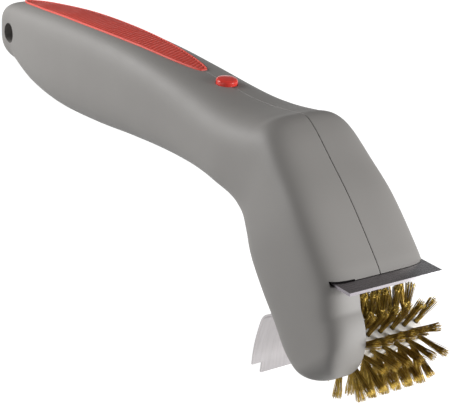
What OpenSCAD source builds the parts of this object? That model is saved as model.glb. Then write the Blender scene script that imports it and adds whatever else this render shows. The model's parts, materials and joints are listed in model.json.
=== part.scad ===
// Battery-powered grill cleaning brush: a bent two-part housing with a spinning brass brush
// under its hood, a stainless scraper in front of the brush and one behind it.
//
// Two frames are used. The tool frame has its origin where the brush axis crosses the
// middle plane, X along the handle towards the head, Y across, Z away from the palm.
// The row frame rests the tool on a table on its rear blade and its tail: see placed().

/* [Housing] */
// Thickness of the moulded walls
wall = 2.4; // [2.2:0.1:2.6]
// Radius of the rounded tail, in side view
tail_r = 18; // [17:0.5:18.5]
// Half of the width across the tail
tail_half_w = 14.5; // [14:0.5:15]
// Radius of the round end of the gear cheek, in side view
cheek_r = 24.4; // [24.2:0.1:25]
// Half of the width across the head
head_half_w = 32; // [31.5:0.5:32.5]
// Radius of the brush bay under the hood
bay_r = 35; // [34.6:0.1:35.2]

/* [Hanging hole] */
// Radius of the hole in the tail
hole_r = 6; // [4.5:0.1:6.5]

/* [Brush] */
// Radius over the bristle tips
brush_r = 26; // [24:0.5:27]
// Radius of the moulded core
core_r = 7.5; // [7:0.1:8]
// Distance between two tufts of a row
tuft_pitch = 7.4; // [7:0.1:7.4]
// Radius of the brush shaft
shaft_r = 2.5; // [2.3:0.1:2.6]

/* [Blades] */
// Width of the front scraper blade
front_blade_w = 55; // [50:1:57]
// How far the front blade stands out of the housing
front_blade_out = 9; // [7:0.5:11]
// Width of the rear scraper blade
rear_blade_w = 52; // [44:1:52]

/* [Button] */
// Radius of the power button
button_r = 5.5; // [5:0.1:6]
// Travel of the power button
button_travel = 2; // [1:0.1:2]

/* [Hidden] */
$fn = 48;

body_grey = "#96938c";
trim_red = "#c8403a";
steel = "#c9cacb";
brass = "#a88a35";
liner_grey = "#8b8a86";
nylon = "#e9e6dc";

// ---------- placing the tool on the table ----------
rest_tilt = 19;
rest_x = 161.2;
rest_z = 44.93;

module placed() {
    translate([rest_x, 0, rest_z]) rotate([0, -rest_tilt, 0]) children();
}

// ---------- outer form, as sections along the tool ----------
// A section is [top x, top z, bottom x, bottom z, half width, top squareness, bottom squareness].
hole_at = [-321, 82];
cheek_at = [-6, 10.5];
head_lean = 36.5;
edge_r = 11;
head_square = 5.5;
spine = [
    [-295, 102.3, -296, 54.5, 17, 3.9, 3],
    [-260, 104.3, -262, 49.6, 19.2, 4, 2.9],
    [-220, 104.5, -222, 49.6, 20, 4, 2.9],
    [-180, 103.2, -183, 52, 20.5, 3.8, 3],
    [-145, 100.5, -149, 53.8, 21.5, 3.3, 3.2],
    [-115, 97.5, -121, 54.6, 23.4, 2.8, 3.5],
    [-94, 95.6, -103, 54.3, 25.2, 2.7, 3.8],
    [-76, 95.4, -90, 53.2, 26.6, 2.8, 4.2],
    [-60, 96.6, -78, 51.5, 27.2, 3, 4.6],
    [-51, 97.2, -70, 49, 27.6, 3.4, 5],
    [-42.5, 92.2, -63, 45, 28.2, 4.2, head_square],
    [-30.1, 80.8, -58.4, 38.9, 29.6, 4.8, head_square],
    [-15, 66.6, -52.5, 28.5, 31.2, head_square, head_square],
    [1, 48.7, -41.5, 15, head_half_w, head_square, head_square],
    [10, 37, -33, 5.2, head_half_w, head_square, head_square]
];
tail_fan = [86, 74, 60, 45, 30, 15, 0];
cheek_fan = [0, 15, 30, 45, 60, 74, 86];
steps = 2;
arc_steps = 16;

// Half width where a rounded edge of radius r closes, d from the tip
function closed_w(w, r, d) = w - r + sqrt(r * r - pow(r - min(d, r), 2));
function tail_section(a, t) = let (r = tail_r - t) [
    hole_at.x - r * sin(a), hole_at.y + r * cos(a), hole_at.x - r * sin(a), hole_at.y - r * cos(a),
    closed_w(tail_half_w - t, edge_r - t, r * (1 - sin(a))), 4, 3.2];
function cheek_section(a, t) = let (r = cheek_r - t) [
    cheek_at.x + r * cos(head_lean - a), cheek_at.y + r * sin(head_lean - a),
    cheek_at.x - r * cos(head_lean + a), cheek_at.y - r * sin(head_lean + a),
    closed_w(head_half_w - t, edge_r - t, r * (1 - sin(a))), head_square, head_square];
// A spine section moved inwards by t
function inset(s, t) = let (d = [s[0] - s[2], s[1] - s[3]], k = t / norm(d))
    [s[0] - k * d.x, s[1] - k * d.y, s[2] + k * d.x, s[3] + k * d.y, s[4] - t, s[5], s[6]];
function catmull(a, b, c, d, u) = 0.5 * (2 * b + (c - a) * u + (2 * a - 5 * b + 4 * c - d) * u * u
    + (3 * b - a - 3 * c + d) * u * u * u);
function smooth(rows) = [
    for (i = [1 : len(rows) - 3], j = [0 : steps - 1])
        catmull(rows[i - 1], rows[i], rows[i + 1], rows[i + 2], j / steps)];
// Every section from the tail to the end of the cheek, t inside the outer surface
function sections(t) = let (
        tail = [for (a = tail_fan) tail_section(a, t)],
        cheek = [for (a = cheek_fan) cheek_section(a, t)],
        middle = concat([tail[5], tail[6]], [for (s = spine) inset(s, t)], [cheek[0], cheek[1]]))
    concat([for (i = [0 : 5]) tail[i]], smooth(middle), cheek);
function power(x, n) = x <= 0 ? 0 : pow(x, n);
// The point of a section at angle a: 90 is the top, -90 the bottom
function on_section(s, a) = let (n = a > 0 ? s[5] : s[6], side = a > 0 ? 1 : -1,
        v = side * power(abs(sin(a)), 2 / n) / 2)
    [(s[0] + s[2]) / 2 + v * (s[0] - s[2]), s[4] * power(cos(a), 2 / n),
        (s[1] + s[3]) / 2 + v * (s[1] - s[3])];
// The top (side 1) or bottom (side -1) of a section at distance y from the middle plane
function at_y(s, y, side) = let (n = side > 0 ? s[5] : s[6],
        v = side * power(1 - power(abs(y) / s[4], n), 1 / n) / 2)
    [(s[0] + s[2]) / 2 + v * (s[0] - s[2]), (s[1] + s[3]) / 2 + v * (s[1] - s[3])];

// Solid between the middle plane and the form t inside the outer surface, on the +Y side
module half_form(t) {
    rows = sections(t);
    n = arc_steps + 1;
    points = [for (s = rows, k = [0 : arc_steps]) on_section(s, 90 - 180 * k / arc_steps)];
    skin = [for (i = [0 : len(rows) - 2], k = [0 : arc_steps]) let (m = (k + 1) % n)
        each [[i * n + k, (i + 1) * n + m, (i + 1) * n + k], [i * n + k, i * n + m, (i + 1) * n + m]]];
    first = [for (k = [arc_steps : -1 : 0]) k];
    last = [for (k = [0 : arc_steps]) (len(rows) - 1) * n + k];
    polyhedron(points, concat(skin, [first, last]), convexity = 6);
}
// Side view of the head's inside, t inside the outer surface, at distance y from the middle
// plane, from the section numbered from onwards
module head_outline(t, y, from) {
    rows = sections(t);
    kept = [for (i = [from : len(rows) - 1]) if (rows[i][4] > y + 0.01) rows[i]];
    polygon(concat([for (s = kept) at_y(s, y, 1)],
        [for (i = [len(kept) - 1 : -1 : 0]) at_y(kept[i], y, -1)]));
}

// ---------- small helpers ----------
// A side-view shape, drawn as [x, z], as thick as from y0 to y1
module slab(y0, y1) {
    translate([0, y1, 0]) rotate([90, 0, 0]) linear_extrude(y1 - y0) children();
}
// A round bar along Y at side-view point p
module bar(p, r, y0, y1) {
    translate([p.x, y1, p.y]) rotate([90, 0, 0]) cylinder(r = r, h = y1 - y0);
}
// A round bar from point a to point b
module bar_between(a, b, r) {
    d = b - a;
    translate(a) rotate([0, acos(d.z / norm(d)), atan2(d.y, d.x)]) cylinder(r = r, h = norm(d));
}
// A pan-head screw along Y: its head lies from y to y + head_h, its shank points to -Y
module cross_screw(p, y, shank_r, shank_l, head_r, head_h) {
    difference() {
        union() {
            bar(p, head_r, y, y + head_h);
            bar(p, shank_r, y - shank_l, y + 0.1);
        }
        for (a = [0, 90])
            translate([p.x, y + head_h, p.y]) rotate([0, a, 0])
                cube([head_r * 1.1, head_h, head_r * 0.28], center = true);
    }
}

// ---------- gear train ----------
gear_m = 0.8;
gear_w = 3.2;
pressure = 25;
backlash = 0.16;
pinion_n = 12;
first_big_n = 42;
first_small_n = 14;
second_n = 42;
output_n = 18;
up_head = [-0.595, 0.804];
train_angle = atan2(up_head.y, up_head.x);
second_at = up_head * gear_m * (output_n + second_n) / 2;
first_at = second_at + up_head * gear_m * (second_n + first_small_n) / 2;
motor_at = first_at + up_head * gear_m * (first_big_n + pinion_n) / 2;
// Each gear layer starts this far from the middle plane, on the cheek's side
layer_a = -16.4;
layer_b = -20;
post_end = -23.5;
pin_r = 1.5;
running = 0.05;

function involute(base, t) = base * [cos(t) + t * PI / 180 * sin(t), sin(t) - t * PI / 180 * cos(t)];
function turned(p, a) = [p.x * cos(a) - p.y * sin(a), p.x * sin(a) + p.y * cos(a)];
// Outline of a spur gear with a tooth centred on angle 0
module gear_outline(teeth) {
    pitch = gear_m * teeth / 2;
    base = pitch * cos(pressure);
    tip = pitch + 0.9 * gear_m;
    root = pitch - 1.2 * gear_m;
    flank_steps = 4;
    t0 = root > base ? acos(base / root) : 0;
    start = root > base ? tan(t0) * 180 / PI : 0;
    end = sqrt(pow(tip / base, 2) - 1) * 180 / PI;
    at_pitch = tan(pressure) * 180 / PI - pressure;
    half = 90 / teeth - backlash / 2 / pitch * 180 / PI;
    flank = [for (k = [0 : flank_steps]) involute(base, start + (end - start) * k / flank_steps)];
    low = [for (p = flank) turned(p, -half - at_pitch)];
    foot = root < base ? [root * low[0] / base] : [];
    one = concat(foot, low, [for (i = [flank_steps : -1 : 0]) [low[i].x, -low[i].y]],
        [for (p = foot) [p.x, -p.y]]);
    polygon([for (i = [0 : teeth - 1], p = one) turned(p, 360 * i / teeth)]);
}
// A gear with its layer's outer face at y; phase 0 puts a tooth towards the next axis up the
// head, phase 0.5 a gap
module gear(p, teeth, y, w, phase, back) {
    translate([p.x, 0, p.y]) slab(y - w, y)
        rotate(train_angle + (back ? 180 : 0) + phase * 360 / teeth) gear_outline(teeth);
}

// ---------- openings and seats that the shells share ----------
seat_y = 8;
screw_r = 1.5;
// Shell screws, in side view
shell_screw_at = [[-300, 79], [-165, 78], [-112, 67], [-62, 84], [-22.4, 60.6], [-60, 54]];
bay_at = [2, 0.5];
liner_w = 1.9;
front_blade_at = [9.9, 37.2];
front_blade_t = 1.5;
front_tilt = 2.6;
rear_blade_t = 1;
button_at = [-114.1, 98];
button_slope = 5.5;

module on_front_blade() {
    translate([front_blade_at.x, 0, front_blade_at.y]) rotate([0, front_tilt, 0]) children();
}
module on_button() {
    translate([button_at.x, 0, button_at.y]) rotate([0, button_slope, 0]) children();
}

// Rear blade in side view: out of the rear wall, then bent down in a long curve
rear_bend = [-31.3, 9.1];
rear_exit = [0.874, 0.486];
rear_up = [-0.655, 0.756];
rear_in = [0.756, 0.655];
rear_curve = [rear_bend, [-36.5, 6.2], [-40.2, 4.1], [-42.6, 1], [-44.6, -4.5], [-46.5, -11],
    [-47.8, -17.5], [-48.6, -24.4]];
rear_flange = [rear_bend, rear_bend + 10 * rear_up];
// A strip of thickness t along the points p
module strip(p, t) {
    n = len(p);
    side = [for (i = [0 : n - 1]) let (d = p[min(i + 1, n - 1)] - p[max(i - 1, 0)]) [-d.y, d.x] / norm(d)];
    polygon(concat([for (i = [0 : n - 1]) p[i] + side[i] * t / 2],
        [for (i = [n - 1 : -1 : 0]) p[i] - side[i] * t / 2]));
}

// The front blade reaches further to the far side than towards the cheek
front_blade_far = 29;
front_blade_near = front_blade_far - front_blade_w;
module front_slot() {
    near = front_blade_near - 1.5;
    on_front_blade() {
        translate([-8, near, -0.95]) cube([16, front_blade_far + 0.3 - near, 1.9]);
        translate([-2, near, 0]) cube([8, -15 - near, 1.35]);
    }
}
module rear_slot() {
    half = rear_blade_w / 2 + 0.3;
    slab(-half, half) strip([rear_bend + 0.6 * rear_exit, rear_curve[2]], rear_blade_t + 0.5);
}
module brush_bay(y0) {
    bar(bay_at, bay_r, y0, 60);
}

// ---------- battery compartment in the handle ----------
cell_r = 7.25;
cell_l = 50.5;
cell_x0 = -280;
cell_rows = [70, 85.3];
cell_y = 6.8;
tray_x0 = cell_x0 - 3.2;
tray_x1 = cell_x0 + 2 * cell_l + 3.6;
tray_z0 = 61.1;
tray_z1 = 94.2;
door_x0 = -281;
door_x1 = -178;
door_z0 = 63;
door_z1 = 93;
hinge_r = 1.5;
hinge_from = [-281, 15.6, 63];
hinge_to = [-178, 18, 63];
hinge_pin_r = 0.8;

module door_opening(gap) {
    translate([door_x0 - gap, 4, door_z0]) cube([door_x1 - door_x0 + 2 * gap, 30, door_z1 - door_z0 + gap]);
}

// ---------- housing ----------
// Features inside both shells, drawn on the +Y side
module shell_ribs() {
    bar(hole_at, hole_r + 2.5, 0, 20);
    on_button() translate([0, 0, -14]) for (x = [-5, 5]) translate([x - 0.8, 4.3, -3]) cube([1.6, 26, 9]);
}
module shell_cuts() {
    bar(hole_at, hole_r, -20, 20);
    on_button() translate([0, 0, -6]) cylinder(r = button_r + 0.3, h = 14);
    front_slot();
    rear_slot();
    grip_form(0.02, 6);
}

module left_shell() color(body_grey) placed() {
    difference() {
        union() {
            difference() { half_form(0); half_form(wall); }
            intersection() {
                half_form(0.9);
                union() {
                    shell_ribs();
                    for (p = shell_screw_at) bar(p, 4.4, 0, 31);
                    hinge_blocks();
                }
            }
        }
        shell_cuts();
        for (p = shell_screw_at) {
            bar(p, screw_r + 0.1, -1, seat_y + 1);
            bar(p, 3, seat_y, 40);
        }
        brush_bay(-1);
        door_opening(0.4);
        hinge_bore();
        hinge_relief();
    }
}
module right_shell() color(body_grey) placed() {
    difference() {
        union() {
            mirror([0, 1, 0]) difference() { half_form(0); half_form(wall); }
            intersection() {
                mirror([0, 1, 0]) half_form(0.9);
                union() {
                    mirror([0, 1, 0]) shell_ribs();
                    for (p = shell_screw_at) bar(p, 3.2, -31, 0);
                    bar([0, 0], 6.6, -31, post_end);
                    for (p = [second_at, first_at]) bar(p, 3, -31, post_end);
                    for (p = case_screw_at) bar(p, 2.8, -31, -16);
                    for (x = [tray_x0 + 12, tray_x1 - 12], z = [tray_z0 + 6, tray_z1 - 6])
                        bar([x, z], 2.5, -19, -2.2);
                }
            }
        }
        shell_cuts();
        for (p = shell_screw_at) bar(p, screw_r, -12, 1);
        brush_bay(-cheek_face);
        bar([0, 0], bush_r, -29.6, 0);
        for (p = [second_at, first_at]) bar(p, pin_r, -30, 0);
        for (p = case_screw_at) bar(p, 1.25, -26, 0);
    }
}

// ---------- hood liner and gear case cover ----------
cheek_face = 14;
cover_t = 2;
head_from = 29;
case_screw_at = [for (p = [[8, -16], [10, 19], [62, -18], [34, 24]])
    up_head * p.x + [up_head.y, -up_head.x] * p.y];
bush_r = 4.5;

module hood_liner() color(liner_grey) placed() {
    difference() {
        for (y = [[-13.7, 18, 18], [17.9, 24, 24], [23.9, 27.5, 27.5]])
            slab(y[0], y[1]) intersection() {
                head_outline(wall + 0.2, y[2], head_from);
                difference() {
                    union() {
                        difference() {
                            translate(bay_at) circle(r = bay_r - 0.1, $fn = 96);
                            translate([-40, -40]) square([30, 50.6]);
                        }
                        polygon([[-8, 32], [9, 32], [9, 36.4], [-8, 37.2]]);
                        polygon([rear_bend + 1.6 * rear_up + 0.62 * rear_in,
                            rear_bend + 9.5 * rear_up + 0.62 * rear_in,
                            rear_bend + 9.5 * rear_up + 3.6 * rear_in,
                            rear_bend + 1.6 * rear_up + 3.6 * rear_in]);
                    }
                    translate(bay_at) circle(r = bay_r - liner_w, $fn = 96);
                }
            }
        rivets(0);
    }
}

cover_y = -cheek_face - 0.05;
module gear_case_cover() color(liner_grey) placed() {
    difference() {
        union() {
            slab(-cheek_face - cover_t, cover_y) intersection() {
                head_outline(wall + 0.15, 16, head_from - 3);
                translate(motor_at) rotate(train_angle) translate([-100, -60]) square([121, 120]);
            }
            bar([0, 0], 6.4, -19.4, cover_y);
        }
        bar([0, 0], bush_r, -30, 0);
        for (p = [second_at, first_at]) bar(p, pin_r, -30, 0);
        bar(motor_at, 5.1, -30, 0);
        for (p = motor_screw_at) {
            bar(p, 1.3, -30, 0);
            bar(p, 2.3, -30, -cheek_face - 1);
        }
        for (p = case_screw_at) {
            bar(p, 1.4, -30, 0);
            bar(p, 2.5, cover_y - 1.1, 0);
        }
        for (p = shell_screw_at) bar(p, 3.5, -30, 0);
        rear_slot();
        front_slot();
    }
}
module gear_case_screws() color(steel) placed() {
    for (p = case_screw_at) cross_screw(p, cover_y - 1.1, 1.25, 9, 2.4, 1.1);
}
module shell_screws() color(steel) placed() {
    for (p = shell_screw_at) cross_screw(p, seat_y, screw_r, 19.5, 2.8, 2);
}

// ---------- grip insert ----------
// Half width of the insert where it is u of the way along, from 0 at the tail to 1 at the tip
grip_x0 = -326;
grip_x1 = -134;
function grip_half(u) = 11.5 * pow(sin(180 * pow(u, 0.9)), 0.62 - 0.2 * u);
// The housing's section at handle position x
function handle_section(x) = x <= hole_at.x ? tail_section(asin((hole_at.x - x) / tail_r), 0) : let (
        rows = concat([tail_section(0, 0)], spine),
        i = max([for (k = [0 : 5]) if (rows[k][0] <= x) k]),
        u = (x - rows[i][0]) / (rows[i + 1][0] - rows[i][0]),
        before = i == 0 ? tail_section(15, 0) : rows[i - 1])
    catmull(before, rows[i], rows[i + 1], rows[i + 2], u);
module grip_form(grow, proud) {
    across = 8;
    along = 32;
    rows = [for (i = [0 : along]) let (u = 0.004 + 0.992 * i / along,
            s = handle_section(grip_x0 + (grip_x1 - grip_x0) * u), g = grip_half(u) + grow)
        [for (j = [0 : across]) let (y = g * (2 * j / across - 1), p = at_y(s, y, 1)) [p.x, y, p.y]]];
    n = across + 1;
    top = [for (r = rows, p = r) p + [0, 0, proud]];
    low = [for (r = rows, p = r) p - [0, 0, 1.5 + grow]];
    b = len(top);
    quads = [for (i = [0 : along - 1], j = [0 : across - 1]) let (a = i * n + j)
        each [[a, a + 1, a + n + 1], [a, a + n + 1, a + n],
            [b + a, b + a + n + 1, b + a + 1], [b + a, b + a + n, b + a + n + 1]]];
    edges = [for (i = [0 : along - 1]) let (a = i * n, c = i * n + across)
        each [[a, a + n, b + a + n], [a, b + a + n, b + a], [c, b + c + n, c + n], [c, b + c, b + c + n]]];
    ends = [for (j = [0 : across - 1]) let (a = j, c = along * n + j)
        each [[a, b + a + 1, a + 1], [a, b + a, b + a + 1], [c, c + 1, b + c + 1], [c, b + c + 1, b + c]]];
    polyhedron(concat(top, low), concat(quads, edges, ends), convexity = 4);
}
module grip_insert() color(trim_red) placed() grip_form(0, 0.8);

// ---------- scrapers ----------
module front_scraper() color(steel) placed() {
    difference() {
        on_front_blade() {
            translate([-5.5, front_blade_near, -front_blade_t / 2])
                cube([5.5 + front_blade_out, front_blade_w, front_blade_t]);
            translate([-15, -12.5, -front_blade_t / 2]) cube([10, 37, front_blade_t]);
        }
        rivets(0);
    }
}
module rear_scraper() color(steel) placed() {
    half = rear_blade_w / 2;
    n = len(rear_curve);
    difference() {
        union() {
            slab(-half, half) strip(rear_curve, rear_blade_t);
            slab(6 - half, half)
                strip([rear_curve[n - 1] + [0, 0.2], rear_curve[n - 1] + [-0.8, -6]], rear_blade_t);
            slab(-12.5, 21) strip(rear_flange, rear_blade_t);
        }
        rivets(0);
    }
}
// Rivets that hold both blades to the hood liner
front_rivet_x = -9;
rivet_r = 1.5;
module rivets(head) {
    for (y = [-4, 14]) {
        on_front_blade() translate([front_rivet_x, y, 0]) {
            translate([0, 0, -4.4]) cylinder(r = rivet_r, h = 5.3);
            if (head > 0) translate([0, 0, front_blade_t / 2]) cylinder(r = 2.6, h = head);
        }
        p = rear_bend + 6 * rear_up;
        q = p + 4 * rear_in;
        bar_between([p.x, y, p.y] - [0.8 * rear_in.x, 0, 0.8 * rear_in.y], [q.x, y, q.y], rivet_r);
        if (head > 0)
            bar_between([p.x, y, p.y] - [rear_in.x, 0, rear_in.y],
                [p.x, y, p.y] - [0.5 * rear_in.x, 0, 0.5 * rear_in.y], 2.6);
    }
}
module scraper_rivets() color(steel) placed() rivets(0.9);

// ---------- drive ----------
motor_r = 13.85;
motor_screw_at = [for (s = [-1, 1]) motor_at + s * 8 * up_head];
module motor() color("#b9bcc0") placed() {
    difference() {
        union() {
            bar(motor_at, motor_r, -cheek_face, 18.5);
            bar(motor_at, motor_r - 0.8, 18.4, 21.5);
            bar(motor_at, 5, -16.2, -cheek_face + 0.1);
            bar(motor_at, 4, 21.4, 23.5);
            for (s = [-1, 1]) translate([motor_at.x, 22.5, motor_at.y])
                rotate([0, train_angle + 90, 0]) translate([s * 8.5, 0, 0]) cube([0.6, 4, 3], center = true);
        }
        bar(motor_at, 1.2, -17, 20);
        for (p = motor_screw_at) bar(p, 1.25, -17, -9);
    }
}
module motor_screws() color(steel) placed() {
    for (p = motor_screw_at) mirror([0, 1, 0]) cross_screw(p, cheek_face + 1, 1.25, 5.5, 2.2, 0.9);
}
module motor_shaft() color(steel) placed() bar(motor_at, 1.15, -21.5, 19.5);
module motor_pinion() color("#c9a961") placed() {
    difference() {
        gear(motor_at, pinion_n, layer_a + 0.1, gear_w + 0.4, 0.5, true);
        bar(motor_at, 1.15, -30, 0);
    }
}
module first_idler_gear() color(nylon) placed() {
    difference() {
        union() {
            gear(first_at, first_big_n, layer_a, gear_w, 0, false);
            gear(first_at, first_small_n, layer_a - gear_w + 0.1, gear_w + 0.4, 0.5, true);
        }
        bar(first_at, pin_r + running, -32, 0);
    }
}
module second_idler_gear() color(nylon) placed() {
    difference() {
        union() {
            gear(second_at, second_n, layer_b, gear_w, 0, false);
            bar(second_at, 3.5, layer_b - 0.1, layer_a);
        }
        bar(second_at, pin_r + running, -32, 0);
    }
}
module idler_pins() color(steel) placed()
    for (p = [second_at, first_at]) bar(p, pin_r, -30, -cheek_face - 0.05);
module output_gear() color(nylon) placed() {
    difference() {
        gear([0, 0], output_n, layer_b, gear_w, 0.5, false);
        bar([0, 0], shaft_r, -32, 0);
    }
}
module brush_shaft() color(steel) placed() {
    difference() {
        bar([0, 0], shaft_r, -29.4, 31.5);
        bar([0, 0], 1.25, 22, 32);
    }
}
module bush(y0, y1) {
    difference() {
        bar([0, 0], bush_r, y0, y1);
        bar([0, 0], shaft_r + running, y0 - 1, y1 + 1);
    }
}
module outer_bush() color("#b08d57") placed() bush(-29.6, post_end);
module inner_bush() color("#b08d57") placed() bush(-19.4, -cheek_face);

// ---------- brush ----------
tuft_rows = 12;
tuft_root_r = 1.3;
tuft_tip_r = 2.5;
core_y0 = -13;
core_y1 = 32;
first_row_angle = 55.8;
// Every tuft as [angle, y]: odd rows sit half a pitch off the even ones
tufts = [for (row = [0 : tuft_rows - 1], k = [-1 : 4])
    [first_row_angle + 360 * row / tuft_rows, tuft_pitch * (k - (row % 2) / 2)]];
module at_tufts() {
    for (t = tufts) translate([0, t.y, 0]) rotate([0, 90 - t.x, 0]) children();
}
module brush_core() color(nylon) placed() {
    difference() {
        bar([0, 0], core_r, core_y0, core_y1 - 0.5);
        bar([0, 0], shaft_r, -30, 40);
        at_tufts() translate([0, 0, core_r - 2.5]) cylinder(r = tuft_root_r, h = 5, $fn = 16);
    }
}
module bristle_tufts() color(brass) placed() at_tufts() {
    translate([0, 0, core_r - 2.5]) cylinder(r = tuft_root_r, h = 4, $fn = 16);
    translate([0, 0, core_r + 1.4]) cylinder(r1 = tuft_root_r, r2 = tuft_tip_r, h = brush_r - core_r - 1.4, $fn = 16);
}
module core_washer() color(steel) placed() {
    difference() {
        bar([0, 0], 6, 31.5, 32.3);
        bar([0, 0], 1.25, 30, 35);
    }
}
module core_screw() color(steel) placed() cross_screw([0, 0], 32.3, 1.25, 8, 2.9, 1.7);

// ---------- button and switch ----------
module power_button() color(trim_red) placed() on_button() {
    dome_h = 2.6;
    ball_r = (pow(button_r, 2) + pow(dome_h - 0.8, 2)) / 2 / (dome_h - 0.8);
    intersection() {
        translate([0, 0, -3.8]) cylinder(r = button_r, h = 3.8 + dome_h);
        translate([0, 0, dome_h - ball_r]) sphere(r = ball_r, $fn = 64);
    }
    translate([0, 0, -4.9]) cylinder(r = button_r + 1.4, h = 1.2);
    translate([0, 0, -12]) cylinder(r = 2, h = 8);
}
// A coil spring between the heights low and high, its radius going from r0 to r1
module coil(turns, wire, r0, r1, low, high) {
    rings = turns * 12;
    points = [for (i = [0 : rings], k = [0 : 5]) let (a = 360 * turns * i / rings, b = 60 * k,
            r = r0 + (r1 - r0) * i / rings + wire * cos(b))
        [r * cos(a), r * sin(a), low + wire + (high - low - 2 * wire) * i / rings + wire * sin(b)]];
    tube(points, rings, 6);
}
module button_spring() color(steel) placed() on_button() coil(4, 0.35, 3.2, 3.2, -9.95, -4.95);
// Skin of a tube whose rings of n points are listed one after another
module tube(points, rings, n) {
    skin = [for (i = [0 : rings - 1], k = [0 : n - 1]) let (m = (k + 1) % n)
        each [[i * n + k, i * n + m, (i + 1) * n + m], [i * n + k, (i + 1) * n + m, (i + 1) * n + k]]];
    polyhedron(points, concat(skin, [[for (k = [n - 1 : -1 : 0]) k]],
        [[for (k = [0 : n - 1]) rings * n + k]]), convexity = 8);
}
module push_switch() color("#2f3134") placed() on_button() {
    difference() {
        union() {
            translate([-6.5, -4.2, -20]) cube([13, 8.4, 10]);
            for (x = [-3, 3]) translate([x - 0.4, -1.2, -23]) cube([0.8, 2.4, 3.1]);
        }
        translate([0, 0, -16]) cylinder(r = 2 + running, h = 8);
    }
}

// ---------- batteries ----------
module battery_tray() color("#2f3134") placed() {
    y0 = -2.1;
    y1 = 10.5;
    difference() {
        translate([tray_x0, y0, tray_z0]) cube([tray_x1 - tray_x0, y1 - y0, tray_z1 - tray_z0]);
        for (z = cell_rows)
            translate([tray_x0 + 1.3, cell_y - cell_r - 0.2, z - cell_r - 0.2])
                cube([tray_x1 - tray_x0 - 2.6, 20, 2 * cell_r + 0.4]);
    }
}
// Each row of cells along +X from its spring contact, the second row the other way round
module in_rows() {
    middle = (tray_x0 + tray_x1) / 2;
    for (i = [0, 1]) translate([middle, cell_y, cell_rows[i]]) rotate([0, 0, 180 * i])
        translate([tray_x0 - middle, 0, 0]) rotate([0, 90, 0]) children();
}
module battery_cells() color("#3b6e8f") placed() in_rows() for (k = [0, 1])
    translate([0, 0, cell_x0 - tray_x0 + k * (cell_l + 0.05)]) {
        cylinder(r = cell_r, h = cell_l - 1);
        translate([0, 0, cell_l - 1.1]) cylinder(r = 2.7, h = 1.1);
    }
module battery_contacts() color(steel) placed() in_rows() {
    cells_end = cell_x0 - tray_x0 + 2 * cell_l + 0.1;
    translate([-5, -5, 1.3]) cube([10, 10, 0.4]);
    translate([-5, -5, cells_end]) cube([10, 10, tray_x1 - tray_x0 - 1.3 - cells_end]);
}
module contact_springs() color(steel) placed() in_rows() coil(2, 0.25, 4.6, 2.2, 1.72, 3.18);
// The door is cut out of the left shell's wall and swings on a barrel along its lower edge
module hinge_axis(r, before, after) {
    d = (hinge_to - hinge_from) / norm(hinge_to - hinge_from);
    bar_between(hinge_from - before * d, hinge_to + after * d, r);
}
module hinge_bore() {
    hinge_axis(hinge_r + 0.35, 0.4, 0.4);
    hinge_axis(hinge_pin_r + running, 3, 3);
}
// Room below the barrel for the door's outer face when it hangs open
module hinge_relief() {
    d = hinge_to - hinge_from;
    translate(hinge_from) rotate([0, 0, atan2(d.y, d.x)]) translate([-0.4, 0, -2.45])
        cube([norm(d) + 0.8, 6, 2.6]);
}
module hinge_blocks() {
    for (e = [[hinge_from, -1], [hinge_to, 1]])
        translate(e[0] + [e[1] * 2.4, -0.4, 0]) cube([3.9, 5, 6], center = true);
}
module battery_door() color(body_grey) placed() {
    intersection() {
        difference() { half_form(0); half_form(wall); }
        door_opening(0);
    }
    hinge_axis(hinge_r, 0, 0);
    hinge_axis(hinge_pin_r, 2.4, 2.4);
    translate([-236, 15, 90.2]) cube([12, 3, 2.2]);
}

// ---------- leads, clipped inside the housing ----------
lead_r = 0.9;
function bend_at(p, i) = let (a = p[max(i - 1, 0)], b = p[min(i + 1, len(p) - 1)]) (b - a) / norm(b - a);
function smooth_path(p, n) = let (q = concat([2 * p[0] - p[1]], p, [2 * p[len(p) - 1] - p[len(p) - 2]])) concat(
    [for (i = [1 : len(q) - 3], j = [0 : n - 1]) catmull(q[i - 1], q[i], q[i + 1], q[i + 2], j / n)],
    [p[len(p) - 1]]);
module lead(route) {
    p = smooth_path(route, 3);
    points = [for (i = [0 : len(p) - 1]) let (d = bend_at(p, i),
            u = cross(d, abs(d.y) < 0.9 ? [0, 1, 0] : [0, 0, 1]), s = u / norm(u), t = cross(d, s))
        for (k = [0 : 7]) p[i] + lead_r * (cos(45 * k) * s + sin(45 * k) * t)];
    tube(points, len(p) - 1, 8);
}
module switch_lead() color("#b5322c") placed()
    lead([[-175.4, 4, 88], [-173, 4, 88], [-170.6, 4, 88], [-162, 2, 91], [-150, -4, 92],
        [-132, -7, 86], [-121, -7, 79], [-117.4, -4, 76], [-116.5, 0, 75.4]]);
module motor_lead() color("#c8772c") placed()
    lead([[-111, 0, 74.8], [-108, 4, 72.5], [-98, 12, 69], [-84, 17, 64.5], [-68, 20.5, 65],
        [-57, 22.8, 65], [-50.5, 23.2, 62.1], [-48.4, 23.2, 60.5], [-47.54, 23.2, 59.91]]);
module return_lead() color("#26262a") placed()
    lead([[-175.4, 4, 66], [-173, 4, 66], [-170.6, 4, 66], [-155, 7, 63.5], [-135, 11, 61.5],
        [-112, 14, 60.9], [-92, 16.5, 60.5], [-76, 18.5, 58.5], [-66, 20.5, 60], [-58, 22.6, 60.5],
        [-52.5, 22.9, 54.5], [-47.5, 22.9, 48.5], [-40, 22.9, 44.8], [-33.5, 22.9, 45],
        [-31.4, 22.9, 47.9], [-33.38, 22.9, 49.43]]);

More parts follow.
